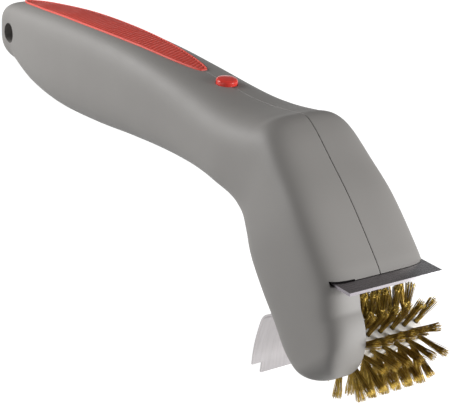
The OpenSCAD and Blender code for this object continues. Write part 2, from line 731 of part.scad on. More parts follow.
right_shell();
left_shell();
hood_liner();
grip_insert();
gear_case_cover();
gear_case_screws();
shell_screws();
front_scraper();
rear_scraper();
scraper_rivets();
motor();
motor_screws();
motor_shaft();
motor_pinion();
first_idler_gear();
second_idler_gear();
idler_pins();
output_gear();
brush_shaft();
outer_bush();
inner_bush();
brush_core();
bristle_tufts();
core_washer();
core_screw();
power_button();
button_spring();
push_switch();
battery_tray();
battery_cells();
battery_contacts();
contact_springs();
battery_door();
switch_lead();
motor_lead();
return_lead();
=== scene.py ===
"""Grill cleaning brush: the looks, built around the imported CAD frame.

Everything is in metres in the row frame. The housing, the grip and the rear blade follow the
same section rules as the CAD part, in the part's own tool frame and in millimetres, and are
lofted much finer here. placed() brings a tool-frame point into the row frame.
"""

import json
import math
import random

import bmesh
import bpy
import numpy as np
from mathutils import Matrix, Vector


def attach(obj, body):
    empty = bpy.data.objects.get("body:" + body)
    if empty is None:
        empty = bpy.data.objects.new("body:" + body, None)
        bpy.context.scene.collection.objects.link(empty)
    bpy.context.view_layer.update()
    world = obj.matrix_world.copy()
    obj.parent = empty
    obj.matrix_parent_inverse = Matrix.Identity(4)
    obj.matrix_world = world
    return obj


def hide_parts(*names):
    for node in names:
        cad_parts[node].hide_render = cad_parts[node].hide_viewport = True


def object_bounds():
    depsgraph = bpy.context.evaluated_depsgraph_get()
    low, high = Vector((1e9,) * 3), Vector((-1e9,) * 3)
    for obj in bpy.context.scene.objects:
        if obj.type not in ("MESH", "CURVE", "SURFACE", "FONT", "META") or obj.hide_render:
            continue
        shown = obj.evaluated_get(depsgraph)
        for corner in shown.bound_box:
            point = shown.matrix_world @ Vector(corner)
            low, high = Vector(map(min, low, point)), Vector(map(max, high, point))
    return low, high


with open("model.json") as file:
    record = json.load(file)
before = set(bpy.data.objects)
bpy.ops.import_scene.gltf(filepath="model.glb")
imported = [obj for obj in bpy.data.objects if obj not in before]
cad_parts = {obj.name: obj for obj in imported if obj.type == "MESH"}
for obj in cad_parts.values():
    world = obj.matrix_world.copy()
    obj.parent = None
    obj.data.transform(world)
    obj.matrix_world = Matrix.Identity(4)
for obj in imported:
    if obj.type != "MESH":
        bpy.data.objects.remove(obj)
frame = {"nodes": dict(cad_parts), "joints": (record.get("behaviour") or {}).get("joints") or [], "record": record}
cad_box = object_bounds()
nodes = frame["nodes"]
joints = {j["name"]: j for j in frame["joints"]}
scene = bpy.context.scene
scene.view_settings.view_transform = "Standard"

MM = 0.001
# Where the front blade's two ends lie across the tool, in millimetres.
BLADE_NEAR, BLADE_FAR = -26, 29

# ---------- the tool frame inside the row frame ----------
REST_TILT = math.radians(19)
brush_axis = Vector(joints["brush_spin"]["pos_m"])


def tilted(x, y, z):
    """A tool-frame vector in the row frame."""
    c, s = math.cos(REST_TILT), math.sin(REST_TILT)
    return Vector((x * c - z * s, y, x * s + z * c))


def placed(x, y, z):
    """A tool-frame point in millimetres as a row-frame point in metres."""
    return tilted(x, y, z) * MM + brush_axis


# ---------- camera ----------
camera_data = bpy.data.cameras.new("camera")
camera = bpy.data.objects.new("camera", camera_data)
scene.collection.objects.link(camera)
scene.camera = camera
camera_data.sensor_width = 36
camera_data.lens = 116
camera_data.clip_start = 0.05
camera_data.clip_end = 50
# Its directions and place are known in the tool frame.
look = tilted(-0.7616, 0.5570, -0.3310).normalized()
right = tilted(0.5789, 0.8145, 0.0384)
right = (right - right.dot(look) * look).normalized()
up = right.cross(look)
camera.location = placed(456.37, -415.30, 281.91)
camera.rotation_mode = "QUATERNION"
camera.rotation_quaternion = Matrix((right, up, -look)).transposed().to_quaternion()


# ---------- materials ----------
def new_material(name):
    material = bpy.data.materials.new(name)
    material.use_nodes = True
    tree = material.node_tree
    shader = tree.nodes["Principled BSDF"]
    return material, tree, shader


def noise(tree, scale, detail=4, roughness=0.5, stretch=(1, 1, 1)):
    """Noise in object coordinates, which are the row frame's metres."""
    coords = tree.nodes.new("ShaderNodeTexCoord")
    mapping = tree.nodes.new("ShaderNodeMapping")
    mapping.inputs["Scale"].default_value = stretch
    texture = tree.nodes.new("ShaderNodeTexNoise")
    texture.inputs["Scale"].default_value = scale
    texture.inputs["Detail"].default_value = detail
    texture.inputs["Roughness"].default_value = roughness
    tree.links.new(coords.outputs["Object"], mapping.inputs["Vector"])
    tree.links.new(mapping.outputs["Vector"], texture.inputs["Vector"])
    return texture.outputs["Fac"]


def ramp(tree, factor, stops):
    """A colour ramp; stops are (place, colour)."""
    node = tree.nodes.new("ShaderNodeValToRGB")
    elements = node.color_ramp.elements
    while len(elements) < len(stops):
        elements.new(0.5)
    for element, (place, colour) in zip(elements, stops):
        element.position = place
        element.color = (*colour, 1)
    tree.links.new(factor, node.inputs["Fac"])
    return node.outputs["Color"]


def to_range(tree, factor, low, high):
    """A factor from 0 to 1 spread from low to high."""
    node = tree.nodes.new("ShaderNodeMapRange")
    node.inputs["To Min"].default_value = low
    node.inputs["To Max"].default_value = high
    tree.links.new(factor, node.inputs["Value"])
    return node.outputs["Result"]


def bump(tree, shader, height, distance, strength=1.0):
    node = tree.nodes.new("ShaderNodeBump")
    node.inputs["Distance"].default_value = distance
    node.inputs["Strength"].default_value = strength
    tree.links.new(height, node.inputs["Height"])
    tree.links.new(node.outputs["Normal"], shader.inputs["Normal"])


GRAIN_SCALE, GRAIN_DEPTH = 2600, 0.00003
BRUSH_SCALE, SCRATCH_DEPTH = 900, 0.000012


def plastic(name, dark, light, low_rough, high_rough):
    """Moulded plastic: a slow drift of tone, a fine sparkle texture and uneven gloss."""
    material, tree, shader = new_material(name)
    tone = ramp(tree, noise(tree, 18), [(0.3, dark), (0.7, light)])
    tree.links.new(tone, shader.inputs["Base Color"])
    gloss = to_range(tree, noise(tree, 60, 6), low_rough, high_rough)
    tree.links.new(gloss, shader.inputs["Roughness"])
    bump(tree, shader, noise(tree, GRAIN_SCALE, 2), GRAIN_DEPTH, 0.5)
    return material


def brushed(tree, shader, low_rough, high_rough, stretch):
    """Makes a shader brushed metal, and gives back the noise of its brush marks."""
    lines = noise(tree, BRUSH_SCALE, 5, 0.6, stretch)
    tree.links.new(to_range(tree, lines, low_rough, high_rough), shader.inputs["Roughness"])
    shader.inputs["Metallic"].default_value = 1.0
    bump(tree, shader, lines, SCRATCH_DEPTH, 0.6)
    return lines


def metal(name, dark, light, low_rough, high_rough, stretch):
    """Metal with fine brush marks along the direction in which stretch is small."""
    material, tree, shader = new_material(name)
    lines = brushed(tree, shader, low_rough, high_rough, stretch)
    tone = ramp(tree, lines, [(0.25, dark), (0.75, light)])
    tree.links.new(tone, shader.inputs["Base Color"])
    return material


def grey(value, warm=0.0):
    return (value * (1 + warm), value, value * (1 - warm))


body_plastic = plastic("body_plastic", (0.262, 0.250, 0.238), (0.282, 0.270, 0.257), 0.5, 0.62)
liner_plastic = plastic("liner_plastic", grey(0.42, 0.01), grey(0.46, 0.01), 0.5, 0.6)
grip_rubber = plastic("grip_rubber", (0.78, 0.075, 0.05), (0.86, 0.095, 0.065), 0.42, 0.56)
button_plastic = plastic("button_plastic", (0.80, 0.05, 0.035), (0.86, 0.06, 0.045), 0.16, 0.24)
gear_nylon = plastic("gear_nylon", (0.78, 0.76, 0.69), (0.84, 0.82, 0.76), 0.4, 0.5)
black_plastic = plastic("black_plastic", grey(0.02), grey(0.035), 0.4, 0.55)
cell_wrap = plastic("cell_wrap", (0.03, 0.12, 0.25), (0.04, 0.16, 0.31), 0.25, 0.35)
red_lead = plastic("red_lead", (0.5, 0.02, 0.015), (0.58, 0.03, 0.02), 0.3, 0.4)
orange_lead = plastic("orange_lead", (0.6, 0.19, 0.02), (0.68, 0.24, 0.03), 0.3, 0.4)
black_lead = plastic("black_lead", grey(0.012), grey(0.025), 0.3, 0.4)
rear_blade_steel = metal("rear_blade_steel", (0.41, 0.39, 0.395), (0.50, 0.48, 0.485), 0.3, 0.42,
                         (0.08, 1, 0.08))
motor_steel = metal("motor_steel", grey(0.5), grey(0.6), 0.25, 0.4, (1, 0.06, 1))
fastener_steel = metal("fastener_steel", grey(0.5), grey(0.62), 0.25, 0.4, (1, 1, 1))
contact_plating = metal("contact_plating", (0.6, 0.58, 0.54), (0.7, 0.68, 0.64), 0.2, 0.35, (1, 1, 1))
bush_bronze = metal("bush_bronze", (0.35, 0.22, 0.1), (0.48, 0.32, 0.16), 0.35, 0.5, (1, 1, 1))
pinion_brass = metal("pinion_brass", (0.5, 0.34, 0.12), (0.64, 0.46, 0.18), 0.25, 0.4, (1, 1, 1))


def painted_reflection_blade(painted_dark_y, painted_bright_y):
    """Polished blade steel with fine marks along it and a painted reflection: dark at one end and bright at the
    other.
    """
    material, tree, shader = new_material("front_blade_steel")
    place = tree.nodes.new("ShaderNodeTexCoord")
    parts = tree.nodes.new("ShaderNodeSeparateXYZ")
    along = tree.nodes.new("ShaderNodeMapRange")
    along.inputs["From Min"].default_value = painted_dark_y
    along.inputs["From Max"].default_value = painted_bright_y
    tree.links.new(place.outputs["Object"], parts.inputs["Vector"])
    tree.links.new(parts.outputs["Y"], along.inputs["Value"])
    # Painted reflection: the tone runs along Y from dark at the blade's near end to bright at its far end.
    tone = ramp(tree, along.outputs["Result"], [
        (0.0, (0.25, 0.23, 0.25)), (0.6, (0.34, 0.32, 0.335)), (0.85, (0.66, 0.65, 0.67))])
    tree.links.new(tone, shader.inputs["Base Color"])
    brushed(tree, shader, 0.2, 0.34, (1, 0.04, 1))
    return material


def core_material():
    """Pale, slightly translucent nylon of the brush core."""
    material, tree, shader = new_material("core_plastic")
    tone = ramp(tree, noise(tree, 120, 3), [(0.3, (0.74, 0.73, 0.70)), (0.7, (0.82, 0.81, 0.79))])
    tree.links.new(tone, shader.inputs["Base Color"])
    tree.links.new(to_range(tree, noise(tree, 300), 0.35, 0.48), shader.inputs["Roughness"])
    shader.inputs["Subsurface Weight"].default_value = 0.25
    shader.inputs["Subsurface Radius"].default_value = (0.003, 0.003, 0.003)
    bump(tree, shader, noise(tree, 1500, 2), 0.00002, 0.5)
    return material


def wire_material():
    """Drawn brass wire: golden where it is bare, olive brown where it has tarnished."""
    material, tree, shader = new_material("brass_wire")
    own = tree.nodes.new("ShaderNodeAttribute")
    own.attribute_name = "tone"
    mixed = tree.nodes.new("ShaderNodeMath")
    mixed.operation = "MULTIPLY_ADD"
    mixed.inputs[1].default_value = 0.35
    tree.links.new(own.outputs["Fac"], mixed.inputs[0])
    tree.links.new(to_range(tree, noise(tree, 420, 6, 0.65), 0.0, 0.65), mixed.inputs[2])
    shade = ramp(tree, mixed.outputs["Value"], [
        (0.22, (0.13, 0.07, 0.014)), (0.48, (0.42, 0.27, 0.05)), (0.72, (0.80, 0.60, 0.15))])
    tree.links.new(shade, shader.inputs["Base Color"])
    tree.links.new(to_range(tree, noise(tree, 900), 0.22, 0.42), shader.inputs["Roughness"])
    shader.inputs["Metallic"].default_value = 0.9
    return material


# The front blade's steel carries a painted reflection, dark at the near end and bright at the far end.
front_blade_steel = painted_reflection_blade(BLADE_NEAR * MM, BLADE_FAR * MM)
core_plastic = core_material()
brass_wire = wire_material()
MATERIALS = {
    "body_plastic": body_plastic, "liner_plastic": liner_plastic, "grip_rubber": grip_rubber,
    "button_plastic": button_plastic, "front_blade_steel": front_blade_steel,
    "rear_blade_steel": rear_blade_steel, "core_plastic": core_plastic, "brass_wire": brass_wire,
    "motor_steel": motor_steel, "pinion_brass": pinion_brass, "gear_nylon": gear_nylon,
    "bush_bronze": bush_bronze, "black_plastic": black_plastic, "cell_wrap": cell_wrap,
    "contact_plating": contact_plating, "red_lead": red_lead, "orange_lead": orange_lead,
    "black_lead": black_lead, "fastener_steel": fastener_steel,
}
slot_of = {p["node"]: p["material_slot"] for p in frame["record"]["subparts"]}


# ---------- mesh helpers ----------
def piece(name, mesh, slot, body="root", stands_for=()):
    """Links a mesh as a named piece with its material, its body and the nodes it stands for."""
    made = bpy.data.objects.new(name, mesh)
    scene.collection.objects.link(made)
    mesh.materials.clear()
    mesh.materials.append(MATERIALS[slot])
    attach(made, body)
    if stands_for:
        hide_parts(*stands_for)
    return made


def mesh_from(name, points, faces, in_tool_frame=True):
    mesh = bpy.data.meshes.new(name)
    if in_tool_frame:
        points = [placed(*p) for p in points]
    mesh.from_pydata([tuple(p) for p in points], [], [tuple(f) for f in faces])
    mesh.validate()
    tidy = bmesh.new()
    tidy.from_mesh(mesh)
    bmesh.ops.remove_doubles(tidy, verts=tidy.verts, dist=1e-7)
    bmesh.ops.recalc_face_normals(tidy, faces=tidy.faces)
    tidy.to_mesh(mesh)
    tidy.free()
    return mesh


def smooth_by_angle(mesh, degrees):
    """Smooth shading that breaks at edges sharper than this."""
    mesh.shade_smooth()
    limit = math.radians(degrees)
    rounded = bmesh.new()
    rounded.from_mesh(mesh)
    for edge in rounded.edges:
        edge.smooth = len(edge.link_faces) == 2 and edge.calc_face_angle(0) < limit
    rounded.to_mesh(mesh)
    rounded.free()


def add_bevel(made, width_mm, segments=2, degrees=35):
    bevel = made.modifiers.new("edges", "BEVEL")
    bevel.width = width_mm * MM
    bevel.segments = segments
    bevel.limit_method = "ANGLE"
    bevel.angle_limit = math.radians(degrees)
    bevel.harden_normals = True
    return bevel


# ---------- housing sections, as in the CAD part ----------
WALL = 2.4
HOLE_AT, HOLE_R, TAIL_R, TAIL_HALF_W = (-321, 82), 6, 18, 14.5
CHEEK_AT, CHEEK_R, HEAD_LEAN = (-6, 10.5), 24.4, 36.5
HEAD_HALF_W, EDGE_R, HEAD_SQUARE = 32, 11, 5.5
# Each row: x and z on top, x and z underneath, half width, squareness on top and underneath.
SPINE = [
    (-295, 102.3, -296, 54.5, 17, 3.9, 3),
    (-260, 104.3, -262, 49.6, 19.2, 4, 2.9),
    (-220, 104.5, -222, 49.6, 20, 4, 2.9),
    (-180, 103.2, -183, 52, 20.5, 3.8, 3),
    (-145, 100.5, -149, 53.8, 21.5, 3.3, 3.2),
    (-115, 97.5, -121, 54.6, 23.4, 2.8, 3.5),
    (-94, 95.6, -103, 54.3, 25.2, 2.7, 3.8),
    (-76, 95.4, -90, 53.2, 26.6, 2.8, 4.2),
    (-60, 96.6, -78, 51.5, 27.2, 3, 4.6),
    (-51, 97.2, -70, 49, 27.6, 3.4, 5),
    (-42.5, 92.2, -63, 45, 28.2, 4.2, HEAD_SQUARE),
    (-30.1, 80.8, -58.4, 38.9, 29.6, 4.8, HEAD_SQUARE),
    (-15, 66.6, -52.5, 28.5, 31.2, HEAD_SQUARE, HEAD_SQUARE),
    (1, 48.7, -41.5, 15, HEAD_HALF_W, HEAD_SQUARE, HEAD_SQUARE),
    (10, 37, -33, 5.2, HEAD_HALF_W, HEAD_SQUARE, HEAD_SQUARE),
]
FINE_STEPS = 8
FINE_FAN = 2


def closed_w(width, radius, distance):
    """Half width of a rounded end this far in from its tip."""
    reach = radius - min(distance, radius)
    return width - radius + math.sqrt(radius * radius - reach * reach)


def tail_section(degrees, inset):
    """Section of the round tail; 0 degrees cuts through the hole and 90 is the tip."""
    a, r = math.radians(degrees), TAIL_R - inset
    x, z = HOLE_AT
    return np.array([
        x - r * math.sin(a), z + r * math.cos(a), x - r * math.sin(a), z - r * math.cos(a),
        closed_w(TAIL_HALF_W - inset, EDGE_R - inset, r * (1 - math.sin(a))), 4, 3.2])


def cheek_section(degrees, inset):
    """Section of the round end of the cheek; 0 degrees is its widest and 90 the tip."""
    r = CHEEK_R - inset
    x, z = CHEEK_AT
    first, second = math.radians(HEAD_LEAN - degrees), math.radians(HEAD_LEAN + degrees)
    tip = r * (1 - math.sin(math.radians(degrees)))
    return np.array([
        x + r * math.cos(first), z + r * math.sin(first),
        x - r * math.cos(second), z - r * math.sin(second),
        closed_w(HEAD_HALF_W - inset, EDGE_R - inset, tip), HEAD_SQUARE, HEAD_SQUARE])


def spine_section(row, inset):
    """A spine row this far below the surface."""
    s = np.array(row, float)
    across = s[0:2] - s[2:4]
    step = across * inset / np.linalg.norm(across)
    s[0:2] -= step
    s[2:4] += step
    s[4] -= inset
    return s


def catmull(a, b, c, d, u):
    """The smooth curve from b to c, u of the way along."""
    return 0.5 * (2 * b + (c - a) * u + (2 * a - 5 * b + 4 * c - d) * u * u
                  + (3 * b - a - 3 * c + d) * u ** 3)


def smooth_rows(rows, steps):
    """Rows on a smooth curve from the second of these up to, but without, the last but one."""
    return [catmull(rows[i - 1], rows[i], rows[i + 1], rows[i + 2], j / steps)
            for i in range(1, len(rows) - 2) for j in range(steps)]


def sections(inset):
    """Every section from the tail to the end of the cheek, at this depth below the surface."""
    fan = [89 - FINE_FAN * i for i in range(int(89 / FINE_FAN))]
    middle = [tail_section(15, inset), tail_section(0, inset)]
    middle += [spine_section(row, inset) for row in SPINE]
    middle += [cheek_section(0, inset), cheek_section(15, inset)]
    return ([tail_section(a, inset) for a in fan] + smooth_rows(middle, FINE_STEPS)
            + [cheek_section(0, inset)] + [cheek_section(a, inset) for a in reversed(fan)])


def at_height(s, y, v):
    """Tool-frame point of a section at y, v of the way up from its middle (half is the top)."""
    return ((s[0] + s[2]) / 2 + v * (s[0] - s[2]), y, (s[1] + s[3]) / 2 + v * (s[1] - s[3]))


def at_y(s, y, side, depth=0.0):
    """The top (side 1) or bottom (side -1) of a section at y, and this far below the surface."""
    n = s[5] if side > 0 else s[6]
    tall = math.hypot(s[0] - s[2], s[1] - s[3])
    v = max(1 - (abs(y) / s[4]) ** n, 0) ** (1 / n) / 2
    return at_height(s, y, side * (v - min(depth / tall, v * 0.9)))


SEAM_HALF = 0.11
SEAM_ROUND = ((0.11, 0.45), (0.14, 0.24), (0.22, 0.09), (0.36, 0.02), (0.6, 0.0))
PROFILE_STEPS = 72


def profile(s, rounded):
    """Half of a section from the seam on top, round the +Y side, to the seam underneath."""
    seam = SEAM_ROUND if rounded else ((SEAM_HALF, 0.0),)
    first = seam[-1][0]
    points = [at_y(s, y, 1, depth) for y, depth in seam]
    for k in range(1, PROFILE_STEPS):
        a = math.radians(90 - 180 * k / PROFILE_STEPS)
        n = s[5] if a > 0 else s[6]
        rho = (math.cos(a) ** n + abs(math.sin(a)) ** n) ** (1 / n)
        y = s[4] * math.cos(a) / rho
        if y > first * 1.05:
            points.append(at_height(s, y, math.sin(a) / rho / 2))
        else:
            points.append(at_y(s, first * 1.05, 1 if a > 0 else -1))
    return points + [at_y(s, y, -1, depth) for y, depth in reversed(seam)]


def half_shell(side):
    """Closed wall of one half of the housing: outer skin, inner skin and the edge between."""
    outer = [profile(s, True) for s in sections(0)]
    inner = [profile(s, False) for s in sections(WALL)]
    m, n = len(outer[0]), len(inner[0])
    ring = m + n
    points = [p for o, i in zip(outer, inner) for p in o + i[::-1]]
    last = (len(outer) - 1) * ring
    faces = [(r * ring + k, r * ring + (k + 1) % ring, (r + 1) * ring + (k + 1) % ring, (r + 1) * ring + k)
             for r in range(len(outer) - 1) for k in range(ring)]
    for start in (0, last):
        faces.append([start + k for k in range(m)])
        faces.append([start + m + k for k in range(n)])
        faces.append([start, start + m - 1, start + m, start + ring - 1])
    return [(x, side * y, z) for x, y, z in points], faces


def solid_half(inset, side):
    """Closed solid between the middle plane and the form this far below the surface."""
    rows = [profile(s, False) for s in sections(inset)]
    m = len(rows[0])
    points = [(x, side * y, z) for row in rows for x, y, z in row]
    faces = [(r * m + k, r * m + (k + 1) % m, (r + 1) * m + (k + 1) % m, (r + 1) * m + k)
             for r in range(len(rows) - 1) for k in range(m)]
    return points, faces + [list(range(m)), [(len(rows) - 1) * m + k for k in range(m)]]


# ---------- simple closed solids to add and cut, in the tool frame ----------
def prism(outline, y0, y1):
    """A side-view outline of [x, z] points as thick as from y0 to y1."""
    n = len(outline)
    points = [(x, y0, z) for x, z in outline] + [(x, y1, z) for x, z in outline]
    faces = [list(range(n)), list(range(n, 2 * n))]
    return points, faces + [(k, (k + 1) % n, n + (k + 1) % n, n + k) for k in range(n)]


def circle(p, r, sides=72):
    return [(p[0] + r * math.cos(2 * math.pi * k / sides), p[1] + r * math.sin(2 * math.pi * k / sides))
            for k in range(sides)]


def rod(a, b, r, sides=48):
    """A round bar from point a to point b."""
    a, b = Vector(a), Vector(b)
    turn = (b - a).to_track_quat("Z", "X")
    ring = [turn @ Vector((x, y, 0)) for x, y in circle((0, 0), r, sides)]
    points = [tuple(a + v) for v in ring] + [tuple(b + v) for v in ring]
    faces = [list(range(sides)), list(range(sides, 2 * sides))]
    return points, faces + [(k, (k + 1) % sides, sides + (k + 1) % sides, sides + k) for k in range(sides)]


def block(origin, along, across, upward, sizes):
    """A block with low and high sizes along three directions: ((x0, x1), (y0, y1), (z0, z1))."""
    o, axes = Vector(origin), [Vector(v) for v in (along, across, upward)]
    points = [tuple(o + axes[0] * x + axes[1] * y + axes[2] * z)
              for x in sizes[0] for y in sizes[1] for z in sizes[2]]
    return points, [(0, 1, 3, 2), (4, 5, 7, 6), (0, 1, 5, 4), (2, 3, 7, 6), (0, 2, 6, 4), (1, 3, 7, 5)]


def together(*solids):
    """Several solids as one list of points and one of faces."""
    points, faces = [], []
    for p, f in solids:
        faces += [[k + len(points) for k in face] for face in f]
        points += list(p)
    return points, faces


def combine(mesh, other, operation):
    """The mesh after one Boolean with a tool-frame solid, or with another mesh."""
    if isinstance(other, tuple):
        other = mesh_from("tool", *other)
    pair = [bpy.data.objects.new("made", mesh), bpy.data.objects.new("tool", other)]
    for made in pair:
        scene.collection.objects.link(made)
    step = pair[0].modifiers.new("step", "BOOLEAN")
    step.operation, step.solver, step.object = operation, "EXACT", pair[1]
    evaluated = pair[0].evaluated_get(bpy.context.evaluated_depsgraph_get())
    result = bpy.data.meshes.new_from_object(evaluated)
    for made in pair:
        bpy.data.objects.remove(made)
    return result


# ---------- places taken from the design ----------
UP_HEAD = (-0.595, 0.804)
BAY_AT, BAY_R = (2, 0.5), 35
CHEEK_FACE = 14
SHELL_SCREWS = [(-300, 79), (-165, 78), (-112, 67), (-62, 84), (-22.4, 60.6), (-60, 54)]
CASE_SCREWS = [(UP_HEAD[0] * a + UP_HEAD[1] * b, UP_HEAD[1] * a - UP_HEAD[0] * b)
               for a, b in ((8, -16), (10, 19), (62, -18), (34, 24))]
SECOND_AT = (UP_HEAD[0] * 24, UP_HEAD[1] * 24)
FIRST_AT = (UP_HEAD[0] * 46.4, UP_HEAD[1] * 46.4)
POST_END = -23.5
SEAT_Y = 8
BUTTON_AT, BUTTON_SLOPE, BUTTON_R = (-114.1, 98), math.radians(5.5), 5.5
BLADE_AT, BLADE_TILT = (9.9, 37.2), math.radians(2.6)
REAR_HALF = 26
REAR_BEND = (-31.3, 9.1)
REAR_UP = (-0.655, 0.756)
REAR_CURVE = [REAR_BEND, (-36.5, 6.2), (-40.2, 4.1), (-42.6, 1), (-44.6, -4.5), (-46.5, -11),
              (-47.8, -17.5), (-48.6, -24.4)]
DOOR_X, DOOR_Z, DOOR_GAP = (-281, -178), (63, 93), 0.4
HINGE_FROM, HINGE_TO = Vector((-281, 15.6, 63)), Vector((-178, 18, 63))
HINGE_R, HINGE_PIN_R = 1.5, 0.8
button_up = (math.sin(BUTTON_SLOPE), 0, math.cos(BUTTON_SLOPE))
blade_out = (math.cos(BLADE_TILT), 0, -math.sin(BLADE_TILT))
blade_up = (math.sin(BLADE_TILT), 0, math.cos(BLADE_TILT))
hinge_along = (HINGE_TO - HINGE_FROM).normalized()


def button_point(height):
    return tuple(Vector((BUTTON_AT[0], 0, BUTTON_AT[1])) + Vector(button_up) * height)


def hinge_rod(r, extra):
    return rod(HINGE_FROM - hinge_along * extra, HINGE_TO + hinge_along * extra, r)


def front_slot():
    """The slot for the front blade, with the wider gap over the blade's near end."""
    near, far = BLADE_NEAR - 1.5, BLADE_FAR + 0.3
    outline = [(near, -0.95), (far, -0.95), (far, 0.95), (-15, 0.95), (-15, 1.35), (near, 1.35)]
    start = Vector((BLADE_AT[0], 0, BLADE_AT[1]))
    ring = [Vector((0, y, 0)) + Vector(blade_up) * z for y, z in outline]
    points = [tuple(start + Vector(blade_out) * x + v) for x in (-8, 8) for v in ring]
    n = len(outline)
    return points, [list(range(n)), list(range(n, 2 * n))] + [
        (k, (k + 1) % n, n + (k + 1) % n, n + k) for k in range(n)]


def rear_slot():
    """The slot that the rear blade leaves the housing by."""
    start = (REAR_BEND[0], 0, REAR_BEND[1])
    along = (Vector((REAR_CURVE[2][0], 0, REAR_CURVE[2][1])) - Vector(start)).normalized()
    upward = (-along.z, 0, along.x)
    across = (-REAR_HALF - 0.3, REAR_HALF + 0.3)
    return block(start, along, (0, 1, 0), upward, ((-0.8, 10.3), across, (-0.75, 0.75)))


# ---------- grip insert ----------
GRIP_X = (-326, -134)


def grip_half(u):
    """Half width of the insert, u of the way from its tail end to its front end."""
    return 11.5 * math.sin(math.pi * u ** 0.9) ** (0.62 - 0.2 * u)


def handle_section(x):
    """The housing's section whose top is at about x, along the handle and the tail."""
    if x <= HOLE_AT[0]:
        return tail_section(math.degrees(math.asin((HOLE_AT[0] - x) / TAIL_R)), 0)
    rows = [tail_section(0, 0)] + [np.array(row, float) for row in SPINE]
    i = max(k for k in range(6) if rows[k][0] <= x)
    before = tail_section(15, 0) if i == 0 else rows[i - 1]
    u = (x - rows[i][0]) / (rows[i + 1][0] - rows[i][0])
    return catmull(before, rows[i], rows[i + 1], rows[i + 2], u)


RIM_W, RIM_H, RIB_PITCH, RIB_SLANT = 0.75, 0.8, 2.7, 0.5


def grip_height(x, y, edge):
    """How far the insert stands proud of the housing: a rounded rim round slanting ribs."""
    if edge < 0.35:
        return RIM_H * (0.35 + 0.65 * math.sqrt(1 - (1 - edge / 0.35) ** 2))
    wave = 0.5 + 0.5 * math.cos(2 * math.pi * (x + RIB_SLANT * y) / RIB_PITCH)
    field = 0.22 + 0.36 * wave ** 0.8
    blend = min(max((edge - RIM_W) / 0.35, 0), 1)
    return RIM_H + (field - RIM_H) * blend * blend * (3 - 2 * blend)


def grip_solid(along, grow=0.0, proud=None):
    """The insert; or, with proud given, the plain recess that it sits in."""
    edges = [0, 0.05, 0.12, 0.22, 0.35, 0.55, 0.75, 0.85, 0.95, 1.1]
    inner = 26
    rows = []
    for i in range(along + 1):
        u = 0.004 + 0.992 * i / along
        x = GRIP_X[0] + (GRIP_X[1] - GRIP_X[0]) * u
        s, g = handle_section(x), grip_half(u) + grow
        squeeze = min(1, g / 3)
        left = [g - e * squeeze for e in edges]
        ys = left + [left[-1] * (1 - 2 * k / inner) for k in range(1, inner)] + [-y for y in reversed(left)]
        rows.append([(y, g, x, at_y(s, y, 1)) for y in reversed(ys)])
    n = len(rows[0])
    end_reach = [min(i, along - i) * (GRIP_X[1] - GRIP_X[0]) / along for i in range(along + 1)]
    top = []
    for row, reach in zip(rows, end_reach):
        for y, g, x, p in row:
            rise = grip_height(x, y, min(g - abs(y), reach * 0.8)) if proud is None else proud
            top.append((p[0], p[1], p[2] + rise))
    low = [(p[0], p[1], p[2] - 1.5 - grow) for row in rows for y, g, x, p in row]
    b = len(top)
    faces = []
    for i in range(along):
        for j in range(n - 1):
            a = i * n + j
            faces += [(a, a + 1, a + n + 1, a + n), (b + a, b + a + n, b + a + n + 1, b + a + 1)]
        for a in (i * n, i * n + n - 1):
            faces.append((a, a + n, b + a + n, b + a))
    for j in range(n - 1):
        for a in (j, along * n + j):
            faces.append((a, a + 1, b + a + 1, b + a))
    return top + low, faces


# ---------- housing shells ----------
def bosses(side, outer_y):
    """The posts inside one shell, drawn from the middle plane outwards."""
    y0 = SEAM_HALF
    posts = [prism(circle(HOLE_AT, HOLE_R + 2.5), side * y0, side * 13)]
    if side > 0:
        posts += [prism(circle(p, 4.4), y0, outer_y) for p in SHELL_SCREWS]
        for end, way in ((HINGE_FROM, -1), (HINGE_TO, 1)):
            posts.append(block(end + Vector((way * 2.4, -0.4, 0)), (1, 0, 0), (0, 1, 0), (0, 0, 1),
                               ((-1.95, 1.95), (-2.5, 2.5), (-3, 3))))
    else:
        posts += [prism(circle(p, 3.2), -outer_y, -y0) for p in SHELL_SCREWS]
        posts += [prism(circle((0, 0), 6.6), -outer_y, POST_END)]
        posts += [prism(circle(p, 3), -outer_y, POST_END) for p in (SECOND_AT, FIRST_AT)]
        posts += [prism(circle(p, 2.8), -outer_y, -16) for p in CASE_SCREWS]
    return together(*posts)


def door_box(gap):
    return block((0, 0, 0), (1, 0, 0), (0, 1, 0), (0, 0, 1),
                 ((DOOR_X[0] - gap, DOOR_X[1] + gap), (4, 34), (DOOR_Z[0], DOOR_Z[1] + gap)))


def shell_mesh(side):
    """One shell. Cuts that don't meet each other share a Boolean, which keeps this quick."""
    posts = mesh_from("posts", *bosses(side, HEAD_HALF_W - 1))
    inside = combine(posts, solid_half(WALL / 2, side), "INTERSECT")
    mesh = combine(mesh_from("shell", *half_shell(side)), inside, "UNION")
    bay = prism(circle(BAY_AT, BAY_R, 180), *((-1, 60) if side > 0 else (-CHEEK_FACE, 2)))
    large = [bay, prism(circle(HOLE_AT, HOLE_R), -20, 20), front_slot(),
             rod(button_point(-6), button_point(8), BUTTON_R + 0.3, 72)]
    small = [rear_slot(), grip_solid(120, 0.06, 6)]
    if side > 0:
        large += [prism(circle(p, 3), SEAT_Y, 40) for p in SHELL_SCREWS] + [door_box(DOOR_GAP)]
        small += [prism(circle(p, 1.6), -1, SEAT_Y + 1) for p in SHELL_SCREWS]
        small += [hinge_rod(HINGE_R + 0.35, 0.4)]
    else:
        small += [prism(circle(p, 1.5), -12, 1) for p in SHELL_SCREWS]
        small += [prism(circle(p, 1.5), -30, 0) for p in (SECOND_AT, FIRST_AT)]
        small += [prism(circle((0, 0), 4.5), -29.6, 0)]
    for cuts in (large, small):
        mesh = combine(mesh, together(*cuts), "DIFFERENCE")
    return mesh


